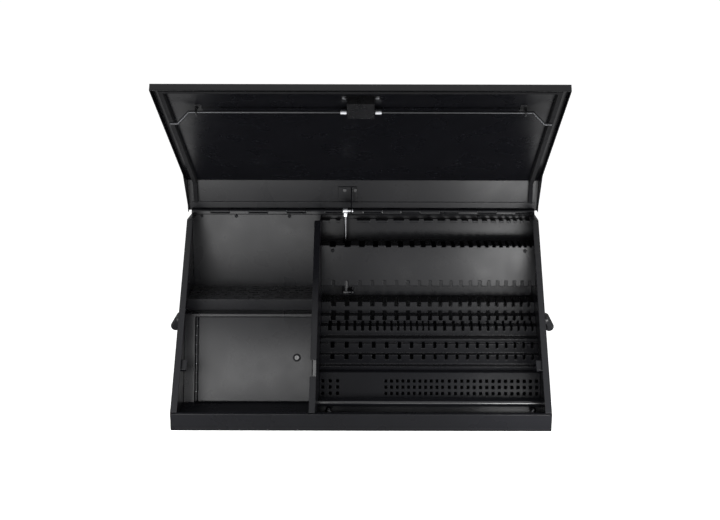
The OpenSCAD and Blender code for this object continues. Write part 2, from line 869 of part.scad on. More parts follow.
module top_rail() {
    front = wall_y - rail_d;
    path = [
        [wall_y - sheet, body_h - sheet], [wall_y - sheet, rail_z], [front, rail_z],
        [front, rail_z - rail_lip]
    ];
    places = graded(rail_notches, rail_grade, right_x0 + rail_row_left, rail_right - rail_row_right);
    widths = shrinking(rail_notches, rail_notch_w0, rail_notch_w1);
    ear_room = strut_end_w + 2 * strut_ear_gap;
    color(coat) difference() {
        along_x(right_x0, rail_right, folded(path, sheet));
        for (i = [0 : rail_notches - 1])
            block(
                [places[i] - widths[i] / 2, front - over, rail_z - rail_lip - over],
                [places[i] + widths[i] / 2, front + rail_d * rail_notch_share, rail_z + over]
            );
        block(
            [ear_x - ear_room, front - over, rail_z - rail_lip - over],
            [ear_x + strut_ear_gap, wall_y - sheet, rail_z + over]
        );
        rivet_holes(right_rivets, wall_y - 2 * sheet - over, y_back);
    }
}

module second_rail_panel() {
    path = [[wall_y, rail2_z], [panel2_y, rail2_z], [panel2_y, panel2_z]];
    places = graded(rail2_slots, rail2_grade, right_x0 + rail_row_left, inner_w - rail2_row_right);
    widths = shrinking(rail2_slots, rail2_slot_w0, rail2_slot_w1);
    color(coat) difference() {
        along_x(right_x0, inner_w, folded(path, sheet));
        for (i = [0 : rail2_slots - 1])
            block(
                [places[i] - widths[i] / 2, panel2_y - over, rail2_z - rail2_slot_down],
                [places[i] + widths[i] / 2, panel2_y + rail2_slot, rail2_z + over]
            );
        block(
            [-strut_x - strut_rod_d, wall_y - strut_slot_in - strut_slot, rail2_z - sheet - over],
            [-strut_x + strut_rod_d, wall_y - strut_slot_in, rail2_z + over]
        );
        panel_screw_holes();
        foot_slots();
    }
}

// Slots in the foot of the second rail's panel, open at the bottom
module foot_slots() {
    for (x = graded(rack_slots, rack_grade, rack_left, rack_right))
        block(
            [x - foot_slot_w / 2, panel2_y - over, panel2_z - over],
            [x + foot_slot_w / 2, panel2_y + sheet + over, panel2_z + foot_slot_up]
        );
}

// A row of slots across the edge of a step, from width w0 at the left to w1 at the right
module slot_row(count, x0, x1, w0, w1, y, z, back, up) {
    places = graded(count, rack_grade, x0, x1);
    widths = shrinking(count, w0, w1);
    for (i = [0 : count - 1])
        block(
            [places[i] - widths[i] / 2, y - over, z - slot_down],
            [places[i] + widths[i] / 2, y + back, z + up]
        );
}

module upper_wrench_rack() {
    fine_y = step_y(rack_steps - 2);
    fine_z = step_z(rack_steps - 2);
    steps = [
        for (i = [0 : rack_steps - 1], j = [0, 1])
            [i + j == 0 ? wall_y : step_y(i + j - 1), step_z(i)]
    ];
    back = rack_step_d + sheet + over;
    path = concat(
        [[wall_y, rack_z - rack_lap]],
        steps,
        [[rack_end_y, rack_end_z - rack_lap]]
    );
    color(coat) difference() {
        along_x(right_x0, inner_w, folded(path, sheet));
        slot_row(
            rack_slots, rack_left, rack_right, rack_slot_w0, rack_slot_w1,
            step_y(0), step_z(0), rack_first_slot, over
        );
        for (i = [1 : 1 : rack_steps - 3])
            slot_row(
                rack_slots, rack_left, rack_right, rack_slot_w0, rack_slot_w1,
                step_y(i), step_z(i), back, slot_up
            );
        slot_row(
            fine_slots_left, rack_left - fine_gap, rack_middle - fine_gap, fine_slot_w0, fine_slot_w1,
            fine_y, fine_z, back, slot_up
        );
        slot_row(
            fine_slots_right, rack_middle + fine_gap, rack_right + fine_gap / 2, fine_slot_w0, fine_slot_w1,
            fine_y, fine_z, back, slot_up
        );
    }
}

module lower_wrench_rack() {
    steps = [
        for (i = [0 : low_steps], j = [0, 1])
            [
                j == 0 && i == 0 ? low_y : low_y - low_first_d - low_step_d * (i - 1 + j),
                low_z - low_step_h * i
            ]
    ];
    path = concat([[low_y, rack_end_z - sheet]], steps, [[low_end_y, low_end_z - rack_lap]]);
    color(coat) difference() {
        along_x(right_x0, inner_w, folded(path, sheet));
        for (i = [0 : low_steps - 1])
            slot_row(
                low_slots, rack_left, rack_right, low_slot_w0, low_slot_w1,
                low_y - low_first_d - low_step_d * i, low_z - low_step_h * i, slot_in, over
            );
    }
}

module small_tool_rack() {
    path = [
        [small_y, low_end_z - sheet], [small_y, small_z], [small_front, small_z],
        [small_foot_y, 2 * sheet], [small_foot_y - small_foot, 2 * sheet]
    ];
    color(coat) difference() {
        along_x(right_x0, inner_w, folded(path, sheet));
        for (g = small_groups, i = [0 : g[0] - 1], row = [0 : small_rows - 1])
            translate([
                g[1] + g[2] * i / (g[0] - 1), small_foot_y, small_row_z + small_row_pitch * row
            ]) block([-small_hole / 2, -over, 0], [small_hole / 2, small_lean + sheet, small_hole]);
    }
}

module ledge_bolt_holes(z0, z1) {
    for (x = ledge_bolt_x)
        translate([x, ledge_bolt_y, z0]) cylinder(d = ledge_bolt_d / 2 + 2 * hole_clear, h = z1 - z0);
}

module front_ledge() {
    nose_y = ledge_y + ledge_nose;
    nose_z = ledge_h - ledge_nose;
    color(coat) difference() {
        union() {
            block([right_x0, ledge_y, sheet], [inner_w, ledge_back, 2 * sheet]);
            block([right_x0, ledge_back - sheet, sheet], [inner_w, ledge_back, ledge_h]);
            block([right_x0, nose_y, ledge_h - sheet], [inner_w, ledge_back, ledge_h]);
            difference() {
                pin_x(right_x0, inner_w, nose_y, nose_z, 2 * ledge_nose);
                pin_x(right_x0 - over, inner_w + over, nose_y, nose_z, 2 * (ledge_nose - sheet));
                block(
                    [right_x0 - over, nose_y, nose_z - ledge_nose - over],
                    [inner_w + over, ledge_back, ledge_h - sheet]
                );
            }
        }
        ledge_bolt_holes(0, ledge_nose);
    }
}

module ledge_bolts() {
    color(steel) for (x = ledge_bolt_x) translate([x, ledge_bolt_y, 0]) {
        cylinder(d = ledge_bolt_d / 2, h = 2 * sheet);
        translate([0, 0, 2 * sheet]) cylinder(d = washer_d, h = sheet);
        translate([0, 0, 3 * sheet]) cylinder(d = ledge_bolt_d, h = ledge_bolt_d / 3, $fn = 6);
    }
}

module one_rivet(x, front) {
    pin_y(x, front, y_back + hinge_t, rivet_z, rivet_d);
    pin_y(x, front - rivet_head_h, front, rivet_z, rivet_head_d);
    pin_y(x, y_back + hinge_t, y_back + hinge_t + rivet_head_h, rivet_z, rivet_head_d);
}

module hinge_rivets() {
    color(steel) {
        for (x = left_rivets) one_rivet(x, wall_y);
        for (x = right_rivets) one_rivet(x, wall_y - sheet);
    }
}

module panel_screw_holes() {
    for (x = panel_screw_x)
        pin_y(x, panel2_y - over, panel2_y + sheet + over, panel_screw_z, rivet_d + 2 * hole_clear);
}

module panel_screws() {
    color(steel) for (x = panel_screw_x) {
        pin_y(x, panel2_y, panel2_y + rack_lap, panel_screw_z, rivet_d);
        pin_y(x, panel2_y - rivet_head_h, panel2_y, panel_screw_z, screw_head_d);
    }
}

// Lid hinge

module knuckle_row(first) {
    for (i = [first : 2 : knuckles - 1])
        pin_x(
            i * hinge_pitch - hinge_half + knuckle_gap / 2,
            (i + 1) * hinge_pitch - hinge_half - knuckle_gap / 2,
            axis_y, axis_z, knuckle_d
        );
}

module knuckle_room(first) {
    for (i = [first : 2 : knuckles - 1])
        pin_x(
            i * hinge_pitch - hinge_half - knuckle_gap / 2,
            (i + 1) * hinge_pitch - hinge_half + knuckle_gap / 2,
            axis_y, axis_z, knuckle_d + 2 * knuckle_gap
        );
}

module hinge_bore() {
    pin_x(-hinge_half - over, hinge_half + over, axis_y, axis_z, hinge_pin_d + 2 * pin_clear);
}

module hinge_body_leaf() {
    color(coat) difference() {
        union() {
            difference() {
                block([-hinge_half, y_back, body_h - hinge_leaf], [hinge_half, y_back + hinge_t, axis_z]);
                knuckle_room(1);
            }
            knuckle_row(0);
        }
        hinge_bore();
        rivet_holes(concat(left_rivets, right_rivets), y_back - over, y_back + hinge_t + over);
    }
}

module hinge_lid_leaf() {
    color(coat) opened() difference() {
        union() {
            difference() {
                block([-hinge_half, axis_y - hinge_leaf, strip_z - hinge_t], [hinge_half, axis_y, strip_z]);
                knuckle_room(0);
            }
            knuckle_row(1);
        }
        hinge_bore();
    }
}

module hinge_pin() {
    color(steel) pin_x(-hinge_half, hinge_half, axis_y, axis_z, hinge_pin_d);
}

// Lid

module lid_panel() {
    skin = [slope_pt(-lid_front_over, -lid_gap), slope_at(-lid_gap, strip_z), [axis_y, strip_z]];
    free_z = strip_z + sheet - lid_flange;
    corner = slope_at(lid_free, free_z);
    flange = [
        slope_pt(-lid_front_over, -lid_out), slope_at(-lid_out, strip_z + sheet), [axis_y, strip_z + sheet],
        [axis_y, free_z], corner + [gusset, 0],
        corner - gusset * [cos(slope), sin(slope)], slope_pt(-lid_front_over, lid_free)
    ];
    color(coat) opened() difference() {
        union() {
            along_x(-lid_half, lid_half, folded(skin, sheet));
            along_x(-lid_half, sheet - lid_half, flange);
            along_x(lid_half - sheet, lid_half, flange);
            on_slope(-lid_front_over, 0) block([-lid_half, -sheet, -lid_free], [lid_half, 0, lid_out]);
        }
        on_slope(rod_q, 0) translate([0, 0, lid_gap - over])
            cylinder(d = spindle_d + 2 * stud_gap, h = sheet + 2 * over);
    }
}

module lid_seal() {
    low_q = seal_w / 4;
    rear = axis_y - hinge_leaf - corner_relief;
    side = [
        slope_pt(low_q, -lid_gap), slope_at(-lid_gap, strip_z), [rear, strip_z], [rear, body_h + seal_clear],
        slope_at(-seal_clear, body_h + seal_clear), slope_pt(low_q, -seal_clear)
    ];
    color(rubber) opened() union() {
        along_x(seal_x - seal_w, seal_x, side);
        along_x(-seal_x, seal_w - seal_x, side);
        on_slope(0, 0) block([-seal_x, low_q, seal_clear], [seal_x, low_q + seal_w, lid_gap]);
    }
}

// Gas strut

module strut_body_bracket() {
    y = strut_foot[1];
    z = strut_foot[2];
    color(coat) difference() {
        union() {
            block(
                [ear_x - 2 * strut_end_w, wall_y - ear_t, z - strut_end_d / 2],
                [ear_x + strut_end_w, wall_y, z - strut_end_d / 2 + bracket_h]
            );
            block([ear_x, y, z - strut_end_d / 2], [ear_x + ear_t, wall_y, z + strut_end_d / 2]);
            pin_x(ear_x, ear_x + ear_t, y, z, strut_end_d);
        }
        pin_x(ear_x - over, ear_x + ear_t + over, y, z, strut_stud_d + 2 * hole_clear);
    }
}

module strut_body_stud() {
    color(steel) {
        pin_x(-strut_x - strut_end_w / 2, ear_x + ear_t, strut_foot[1], strut_foot[2], strut_stud_d);
        pin_x(ear_x + ear_t, ear_x + 2 * ear_t, strut_foot[1], strut_foot[2], stud_head_d);
    }
}

module strut_lower_end() {
    color(coat) on_strut() difference() {
        union() {
            pin_x(-strut_end_w / 2, strut_end_w / 2, 0, 0, strut_end_d);
            cylinder(d = strut_end_w, h = strut_base);
        }
        pin_x(-strut_end_w, strut_end_w, 0, 0, strut_stud_d + 2 * pin_clear);
    }
}

module strut_cylinder() {
    color(coat) on_strut() difference() {
        translate([0, 0, strut_base]) cylinder(d = strut_d, h = strut_len);
        translate([0, 0, strut_base + 2 * strut_wall])
            cylinder(d = strut_d - 2 * strut_wall, h = strut_len - 2 * strut_wall - strut_guide);
        translate([0, 0, strut_base + 2 * strut_wall])
            cylinder(d = strut_rod_d + 2 * pin_clear, h = strut_len);
    }
}

module strut_rod() {
    piston_d = strut_d - 2 * strut_wall - 4 * pin_clear;
    color(steel) on_strut() {
        translate([0, 0, piston_z]) cylinder(d = piston_d, h = piston_h);
        translate([0, 0, piston_z])
            cylinder(d = strut_rod_d, h = strut_reach - strut_base - piston_z);
    }
}

module strut_rod_end() {
    color(steel) on_strut() translate([0, 0, strut_reach]) difference() {
        union() {
            pin_x(-strut_end_w / 2, strut_end_w / 2, 0, 0, strut_end_d);
            translate([0, 0, -strut_base]) cylinder(d = strut_end_w, h = strut_base);
        }
        pin_x(-strut_end_w, strut_end_w, 0, 0, strut_stud_d + 2 * pin_clear);
    }
}

module strut_lid_bracket() {
    z = strip_z - ear_t;
    root_z = strip_z - ear_t / 2;
    ear = [
        [ear_base_y0, root_z], [ear_base_y1, root_z], [closed_y + strut_end_d / 2, closed_z],
        [closed_y - strut_end_d / 2, closed_z]
    ];
    color(coat) opened() difference() {
        union() {
            block(
                [ear_x + strut_end_d - ear_base_w, ear_base_y0, z],
                [ear_x + strut_end_d, ear_base_y1, strip_z]
            );
            along_x(ear_x, ear_x + ear_t, ear);
            pin_x(ear_x, ear_x + ear_t, closed_y, closed_z, strut_end_d);
        }
        pin_x(ear_x - over, ear_x + ear_t + over, closed_y, closed_z, strut_stud_d + 2 * hole_clear);
    }
}

module strut_lid_stud() {
    color(steel) opened() {
        pin_x(strut_end_w / 2 + stud_gap - strut_x, ear_x + ear_t, closed_y, closed_z, strut_stud_d);
        pin_x(ear_x + ear_t, ear_x + 2 * ear_t, closed_y, closed_z, stud_head_d);
    }
}

module strut_bracket_bolts() {
    color(steel) opened()
        for (x = [ear_x + strut_end_d / 2 + ear_t, ear_x + strut_end_d / 2 - ear_base_w / 2])
            translate([x, ear_base_y0 + screw_head_d, strip_z - ear_t - rivet_head_h])
                cylinder(d = screw_head_d, h = rivet_head_h);
}

// Latch

module latch_housing() {
    w = housing_w / 2;
    bottom = lid_gap - housing_h;
    color(coat) on_lid(0, 0) difference() {
        union() {
            block([-w, housing_q0, bottom], [w, housing_q1, lid_gap]);
            block([-w - tab_w, housing_q0, lid_gap - sheet], [w + tab_w, housing_q0 + tab_l, lid_gap]);
        }
        block(
            [housing_wall - w, housing_q0 + housing_wall, bottom + housing_wall],
            [w - housing_wall, housing_q1 - housing_wall, lid_gap + over]
        );
        pin_x(-w - over, w + over, rod_q, -rod_n, coupling_d + 2 * stud_gap);
    }
}

module latch_bolts() {
    color(steel) on_lid(0, 0) for (x = [-tab_x, tab_x])
        translate([x, tab_q, lid_gap - sheet - rivet_head_h]) cylinder(d = screw_head_d, h = rivet_head_h);
}

module latch_rose() {
    color(coat) on_lid(rod_q, -lid_out) difference() {
        cylinder(d = rose_d, h = rose_h);
        translate([0, 0, -over]) cylinder(d = spindle_d + 2 * pin_clear, h = rose_h + 2 * over);
    }
}

module latch_handle() {
    color(coat) on_lid(rod_q, -lid_out) difference() {
        union() {
            translate([0, 0, rose_h + seal_clear]) cylinder(d = tee_w, h = tee_stem);
            translate([0, 0, tee_z]) round_slot(tee_l - tee_w, tee_w, tee_h);
            translate([0, 0, spindle_end]) cylinder(d = spindle_d, h = tee_z - spindle_end);
        }
        translate([0, 0, tee_z]) cylinder(d = tee_plug_d + 2 * pin_clear, h = tee_h + over);
    }
}

module latch_lock_plug() {
    key_h = tee_plug_d * key_share;
    color(steel) on_lid(rod_q, -lid_out) translate([0, 0, tee_z]) difference() {
        cylinder(d = tee_plug_d, h = tee_h);
        translate([-sheet / 2, -key_h / 2, tee_h / 2]) cube([sheet, key_h, tee_h]);
    }
}

module latch_cam() {
    color(steel) on_lid(rod_q, -lid_out) translate([0, 0, spindle_end - ear_t])
        round_slot(2 * latch_cam_r - tee_w / 2, tee_w / 2, ear_t);
}

module latch_rod() {
    a = [housing_w / 4 + coupling_gap, 0, -rod_n];
    b = [jog_x0, 0, -rod_n];
    c = [jog_x1, rod_jog_q, -tip_n];
    d = [tip_x, rod_jog_q, -tip_n];
    union() {
        run(a, b, rod_d);
        run(b, c, rod_d);
        run(c, d, rod_d);
        translate(b) sphere(d = rod_d);
        translate(c) sphere(d = rod_d);
    }
}

module left_latch_rod() {
    color(steel) on_lid(rod_q, 0) right_or_left(-1) latch_rod();
}

module right_latch_rod() {
    color(steel) on_lid(rod_q, 0) right_or_left(1) latch_rod();
}

module rod_coupling() {
    start = housing_w / 2 + coupling_gap;
    difference() {
        pin_x(start, start + coupling_l, 0, -rod_n, coupling_d);
        pin_x(start - over, start + coupling_l + over, 0, -rod_n, rod_d);
    }
}

module left_rod_coupling() {
    color(steel) on_lid(rod_q, 0) right_or_left(-1) rod_coupling();
}

module right_rod_coupling() {
    color(steel) on_lid(rod_q, 0) right_or_left(1) rod_coupling();
}

module rod_guide() {
    difference() {
        union() {
            block(
                [guide_x - guide_w / 2, -guide_foot / 2, lid_gap - guide_t / 2],
                [guide_x + guide_t, guide_foot / 2, lid_gap]
            );
            block([guide_x, -guide_w / 2, -rod_n - rod_d], [guide_x + guide_t, guide_w / 2, lid_gap]);
        }
        pin_x(guide_x - over, guide_x + guide_t + over, 0, -rod_n, rod_d + 2 * pin_clear);
    }
}

module left_rod_guide() {
    color(coat) on_lid(rod_q, 0) right_or_left(-1) rod_guide();
}

module right_rod_guide() {
    color(coat) on_lid(rod_q, 0) right_or_left(1) rod_guide();
}

module striker_screw_holes() {
    for (q = striker_screw_q)
        on_slope(q, striker_screw_n)
            pin_x(inner_w - 2 * striker_t, half_w + over, 0, 0, rivet_d + 2 * hole_clear);
}

module striker() {
    q0 = tip_q - striker_l / 2;
    q1 = tip_q + striker_l / 2;
    difference() {
        on_slope(0, 0) union() {
            block([striker_x, q0, -striker_n], [inner_w, q1, striker_t - striker_n]);
            block([striker_x, q0, -striker_n], [inner_w, q0 + striker_t, -sheet]);
            block([inner_w - striker_t, q0, -striker_n - striker_web], [inner_w, q1, -sheet]);
        }
        striker_screw_holes();
    }
}

module left_striker() {
    color(coat) right_or_left(-1) striker();
}

module right_striker() {
    color(coat) right_or_left(1) striker();
}

module striker_screws() {
    color(steel) for (side = [-1, 1], q = striker_screw_q) right_or_left(side) on_slope(q, striker_screw_n) {
        pin_x(inner_w - striker_t, half_w, 0, 0, rivet_d);
        pin_x(inner_w - striker_t - rivet_head_h, inner_w - striker_t, 0, 0, screw_head_d);
    }
}

// Handles

module handle_screw_holes() {
    for (y = handle_screw_y)
        pin_x(inner_w - over, half_w + handle_base_t + over, y, handle_screw_z, rivet_d + 2 * hole_clear);
}

module handle_base() {
    difference() {
        union() {
            block(
                [half_w, handle_y - handle_base_l / 2, handle_top - handle_base_h],
                [half_w + handle_base_t, handle_y + handle_base_l / 2, handle_top]
            );
            for (y = [handle_y - handle_ear_span / 2 - ear_plate, handle_y + handle_ear_span / 2]) {
                block([half_w, y, handle_z - ear_drop], [handle_x, y + ear_plate, handle_top]);
                pin_y(handle_x, y, y + ear_plate, handle_z, 2 * (handle_top - handle_z));
            }
        }
        handle_pin_row(handle_pin_d + 2 * hole_clear, over);
        handle_screw_holes();
    }
}

module handle_pin_row(d, extra) {
    reach = bail_eye_w + door_gap;
    for (s = [-1, 1])
        pin_y(
            handle_x,
            handle_y + (s > 0 ? handle_ear_span / 2 - reach : -handle_ear_span / 2 - ear_plate - extra),
            handle_y + (s > 0 ? handle_ear_span / 2 + ear_plate + extra : -handle_ear_span / 2 + reach),
            handle_z, d
        );
}

module left_handle_base() {
    color(coat) right_or_left(-1) handle_base();
}

module right_handle_base() {
    color(coat) right_or_left(1) handle_base();
}

module handle_pins() {
    color(steel) for (side = [-1, 1]) right_or_left(side) handle_pin_row(handle_pin_d, 0);
}

module handle_screws() {
    color(steel) for (side = [-1, 1], y = handle_screw_y) right_or_left(side) {
        pin_x(inner_w, half_w + handle_base_t, y, handle_screw_z, rivet_d);
        pin_x(half_w + handle_base_t, half_w + handle_base_t + rivet_head_h, y, handle_screw_z, screw_head_d);
    }
}

module handle_bail() {
    grip_x = handle_x + grip_out;
    grip_z = handle_z - grip_down;
    arm_l = norm([grip_out, grip_down]);
    arm_turn = -atan2(grip_out, grip_down);
    difference() {
        union() {
            pin_y(grip_x, handle_y - bail_y, handle_y + bail_y, grip_z, bail_d);
            for (s = [-1, 1]) {
                y = handle_y + s * bail_y;
                pin_y(handle_x, y - bail_eye_w / 2, y + bail_eye_w / 2, handle_z, 2 * bail_eye_r);
                pin_y(grip_x, y - bail_eye_w / 2, y + bail_eye_w / 2, grip_z, 2 * bail_eye_r);
                translate([handle_x, y, handle_z]) rotate([0, arm_turn, 0])
                    block([-bail_arm_w / 2, -bail_eye_w / 2, -arm_l], [bail_arm_w / 2, bail_eye_w / 2, 0]);
            }
        }
        for (s = [-1, 1])
            pin_y(
                handle_x, handle_y + s * bail_y - bail_eye_w, handle_y + s * bail_y + bail_eye_w, handle_z,
                handle_pin_d + 2 * pin_clear
            );
    }
}

module left_handle_bail() {
    color(steel) right_or_left(-1) handle_bail();
}

module right_handle_bail() {
    color(steel) right_or_left(1) handle_bail();
}

module handle_grip() {
    pitch = grip_l / grip_ribs;
    ribs = [
        for (i = [0 : grip_ribs - 1], s = rib_shape)
            [grip_d / 2 - s[1] * grip_groove, (i + s[0]) * pitch]
    ];
    profile = concat(
        [[bail_d / 2 + hole_clear, 0]], ribs,
        [[grip_d / 2 - grip_groove, grip_l], [bail_d / 2 + hole_clear, grip_l]]
    );
    translate([handle_x + grip_out, handle_y - grip_l / 2, handle_z - grip_down])
        rotate([-90, 0, 0]) rotate_extrude() polygon(profile);
}

module left_handle_grip() {
    color(rubber) right_or_left(-1) handle_grip();
}

module right_handle_grip() {
    color(rubber) right_or_left(1) handle_grip();
}

body_shell();
left_side_panel();
right_side_panel();
divider();
tool_shelf();
lockbox_front();
door_hinge_frame_leaf();
door_hinge_pin();
lockbox_door();
door_hinge_door_leaf();
door_lock_body();
door_lock_plug();
door_lock_cam();
top_rail();
second_rail_panel();
upper_wrench_rack();
lower_wrench_rack();
small_tool_rack();
front_ledge();
ledge_bolts();
hinge_rivets();
panel_screws();
hinge_body_leaf();
hinge_pin();
hinge_lid_leaf();
lid_panel();
lid_seal();
strut_body_bracket();
strut_body_stud();
strut_lower_end();
strut_cylinder();
strut_rod();
strut_rod_end();
strut_lid_bracket();
strut_lid_stud();
strut_bracket_bolts();
latch_housing();
latch_bolts();
latch_rose();
latch_handle();
latch_lock_plug();
latch_cam();
left_latch_rod();
right_latch_rod();
left_rod_coupling();
right_rod_coupling();
left_rod_guide();
right_rod_guide();
left_striker();
right_striker();
striker_screws();
left_handle_base();
right_handle_base();
handle_screws();
handle_pins();
left_handle_bail();
right_handle_bail();
left_handle_grip();
right_handle_grip();
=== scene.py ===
"""Looks of the triangle toolbox: finishes, edges, camera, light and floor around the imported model."""
import json
import math

import bpy
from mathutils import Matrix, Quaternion, Vector

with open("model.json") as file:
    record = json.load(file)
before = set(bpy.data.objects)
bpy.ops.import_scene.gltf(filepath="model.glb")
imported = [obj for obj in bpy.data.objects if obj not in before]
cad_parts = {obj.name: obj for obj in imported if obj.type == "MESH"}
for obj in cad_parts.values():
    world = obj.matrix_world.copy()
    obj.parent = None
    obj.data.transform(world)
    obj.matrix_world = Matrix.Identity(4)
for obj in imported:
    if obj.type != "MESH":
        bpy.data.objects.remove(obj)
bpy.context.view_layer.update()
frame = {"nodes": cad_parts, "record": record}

# Lengths are in metres, in the model's own frame, and colours are linear

# Camera, at the photograph's angle and framing
CAMERA_AT = Vector((0.038, -2.8631, 1.0731))
CAMERA_LOOK = Vector((0.0, 0.9711, -0.2385))
CAMERA_ROLL = math.radians(0.13)
CAMERA_LENS_MM = 58.98
CAMERA_SHIFT = -0.024
SENSOR_MM = 36.0

# Floor and background
WHITE = (1.0, 1.0, 1.0, 1.0)
WORLD_AMBIENT = 0.5
FLOOR_SIZE = 120.0
FLOOR_DROP = 0.0003
FLOOR_COLOUR = (0.9, 0.9, 0.9, 1.0)
FLOOR_ROUGHNESS = 0.9
# What the open floor lacks to white; its light adds the rest, so a shadow on it still shows
FLOOR_LIFT = 1.0 - FLOOR_COLOUR[0] * WORLD_AMBIENT

# Upright softboxes in front, which face straight back: x, z, width, height, brightness
SOFTBOX_Y = -0.55
FRONT_SOFTBOXES = {
    "left_softbox": (-0.71, 0.26, 0.58, 0.26, 11.5),
    "door_softbox": (-0.27, 0.26, 0.30, 0.16, 11.0),
    "middle_softbox": (0.185, 0.14, 0.33, 0.12, 5.0),
    "right_softbox": (0.70, 0.17, 0.70, 0.16, 26.0),
}
TOP_SOFTBOX_AT = (0.0, -0.6, 2.6)
TOP_SOFTBOX_TARGET = (0.0, 0.0, 0.3)
TOP_SOFTBOX_SIZE = (2.4, 1.6)
TOP_SOFTBOX_BRIGHTNESS = 1.5

# Rounding of the edges
WELD_GAP = 0.00001
FLAT_ANGLE = math.radians(0.5)
EDGE_ROUND = 0.0005
EDGE_SEGMENTS = 2
EDGE_ANGLE = math.radians(40)
FLAT_FACE_WEIGHT = 100
# Sheets with rivet holes at their edge: their finish alone rounds them
RIVETED = ("body_shell", "hinge_body_leaf")

# Values that the finishes use
FOLD_ROUND = 0.003
FOLD_SAMPLES = 6
NOISE_LOW = 0.3
NOISE_HIGH = 0.7
UPWARD = 0.9
COAT = (0.004, 0.004, 0.005)
COAT_DARK = (0.0034, 0.0035, 0.0044)
COAT_LIGHT = (0.0050, 0.0051, 0.0064)
COAT_MIDDLE = (0.0042, 0.0043, 0.0054)
# Painted light: the lighter grey of the tool shelf's upward faces, standing in for the light they catch
PAINTED_TOP_LIGHT = (0.045, 0.045, 0.048)
DRAWN_ALONG_X = (1.0, 40.0, 40.0)
RINGS_ALONG_ROD = (1.0, 1.0, 12.0)
FINE_RINGS_ALONG_ROD = (1.0, 1.0, 60.0)


# Node helpers

class Shader:
    """A new material with its Principled shader, and short calls for the nodes that feed it."""

    def __init__(self, name, colour, roughness, metallic=0.0, specular=0.5):
        self.material = bpy.data.materials.new(name)
        self.material.use_nodes = True
        self.tree = self.material.node_tree
        self.bsdf = self.tree.nodes["Principled BSDF"]
        self.bsdf.inputs["Base Color"].default_value = (*colour, 1.0)
        self.bsdf.inputs["Roughness"].default_value = roughness
        self.bsdf.inputs["Metallic"].default_value = metallic
        self.bsdf.inputs["Specular IOR Level"].default_value = specular
        self.coords = self.tree.nodes.new("ShaderNodeTexCoord")
        self.place = self.coords.outputs["Object"]
        self.normal = None

    def fold(self):
        """Lets light run round the bends and cut edges of the sheet."""
        node = self.tree.nodes.new("ShaderNodeBevel")
        node.samples = FOLD_SAMPLES
        node.inputs["Radius"].default_value = FOLD_ROUND
        self.normal = node.outputs["Normal"]
        self.tree.links.new(self.normal, self.bsdf.inputs["Normal"])

    def stretched(self, scale):
        mapping = self.tree.nodes.new("ShaderNodeMapping")
        mapping.inputs["Scale"].default_value = scale
        self.tree.links.new(self.place, mapping.inputs["Vector"])
        return mapping.outputs["Vector"]

    def noise(self, scale, detail, place=None):
        node = self.tree.nodes.new("ShaderNodeTexNoise")
        node.inputs["Scale"].default_value = scale
        node.inputs["Detail"].default_value = detail
        self.tree.links.new(place or self.place, node.inputs["Vector"])
        return node.outputs["Fac"]

    def cells(self, scale):
        node = self.tree.nodes.new("ShaderNodeTexVoronoi")
        node.inputs["Scale"].default_value = scale
        self.tree.links.new(self.place, node.inputs["Vector"])
        return node.outputs["Distance"]

    def facing_up(self):
        """1 on faces that look up, 0 on the others."""
        normal = self.tree.nodes.new("ShaderNodeSeparateXYZ")
        self.tree.links.new(self.coords.outputs["Normal"], normal.inputs["Vector"])
        above = self.tree.nodes.new("ShaderNodeMath")
        above.operation = "GREATER_THAN"
        above.inputs[1].default_value = UPWARD
        self.tree.links.new(normal.outputs["Z"], above.inputs[0])
        return above.outputs["Value"]

    def spread(self, value, low, high):
        node = self.tree.nodes.new("ShaderNodeMapRange")
        node.inputs["From Min"].default_value = NOISE_LOW
        node.inputs["From Max"].default_value = NOISE_HIGH
        node.inputs["To Min"].default_value = low
        node.inputs["To Max"].default_value = high
        self.tree.links.new(value, node.inputs["Value"])
        return node.outputs["Result"]

    def tint(self, value, low, high):
        node = self.tree.nodes.new("ShaderNodeMix")
        node.data_type = "RGBA"
        node.inputs["A"].default_value = (*low, 1.0)
        node.inputs["B"].default_value = (*high, 1.0)
        self.tree.links.new(value, node.inputs["Factor"])
        self.tree.links.new(node.outputs["Result"], self.bsdf.inputs["Base Color"])

    def roughen(self, value, low, high):
        self.tree.links.new(self.spread(value, low, high), self.bsdf.inputs["Roughness"])

    def bump(self, height, strength, depth):
        node = self.tree.nodes.new("ShaderNodeBump")
        node.inputs["Strength"].default_value = strength
        node.inputs["Distance"].default_value = depth
        self.tree.links.new(height, node.inputs["Height"])
        if self.normal is not None:
            self.tree.links.new(self.normal, node.inputs["Normal"])
        self.normal = node.outputs["Normal"]
        self.tree.links.new(self.normal, self.bsdf.inputs["Normal"])


# Finishes: one for each material slot of the record, and a few for single nodes

def powder_coat(name, specular):
    s = Shader(name, COAT, 0.28, specular=specular)
    s.fold()
    s.tint(s.noise(9.0, 4.0), COAT_DARK, COAT_LIGHT)
    s.roughen(s.noise(14.0, 3.0), 0.25, 0.32)
    s.bump(s.noise(900.0, 2.0), 0.08, 0.0002)
    s.bump(s.noise(160.0, 1.0), 0.03, 0.0004)
    return s.material


def black_powder_coat():
    return powder_coat("black_powder_coat", 0.16)


def glossy_powder_coat():
    return powder_coat("glossy_powder_coat", 0.32)


# The tool shelf's sheet, with its upward faces painted lighter as painted light
def painted_light_powder_coat():
    s = Shader("painted_light_powder_coat", COAT, 0.28, specular=0.12)
    s.fold()
    s.tint(s.facing_up(), COAT_MIDDLE, PAINTED_TOP_LIGHT)
    s.roughen(s.noise(14.0, 3.0), 0.25, 0.32)
    s.bump(s.noise(900.0, 2.0), 0.08, 0.0002)
    return s.material


def ledge_black():
    s = Shader("ledge_black", COAT, 0.22, specular=0.45)
    s.tint(s.noise(9.0, 4.0), COAT_DARK, COAT_LIGHT)
    s.roughen(s.noise(6.0, 2.0), 0.20, 0.25)
    s.bump(s.noise(40.0, 1.0), 0.01, 0.0002)
    return s.material


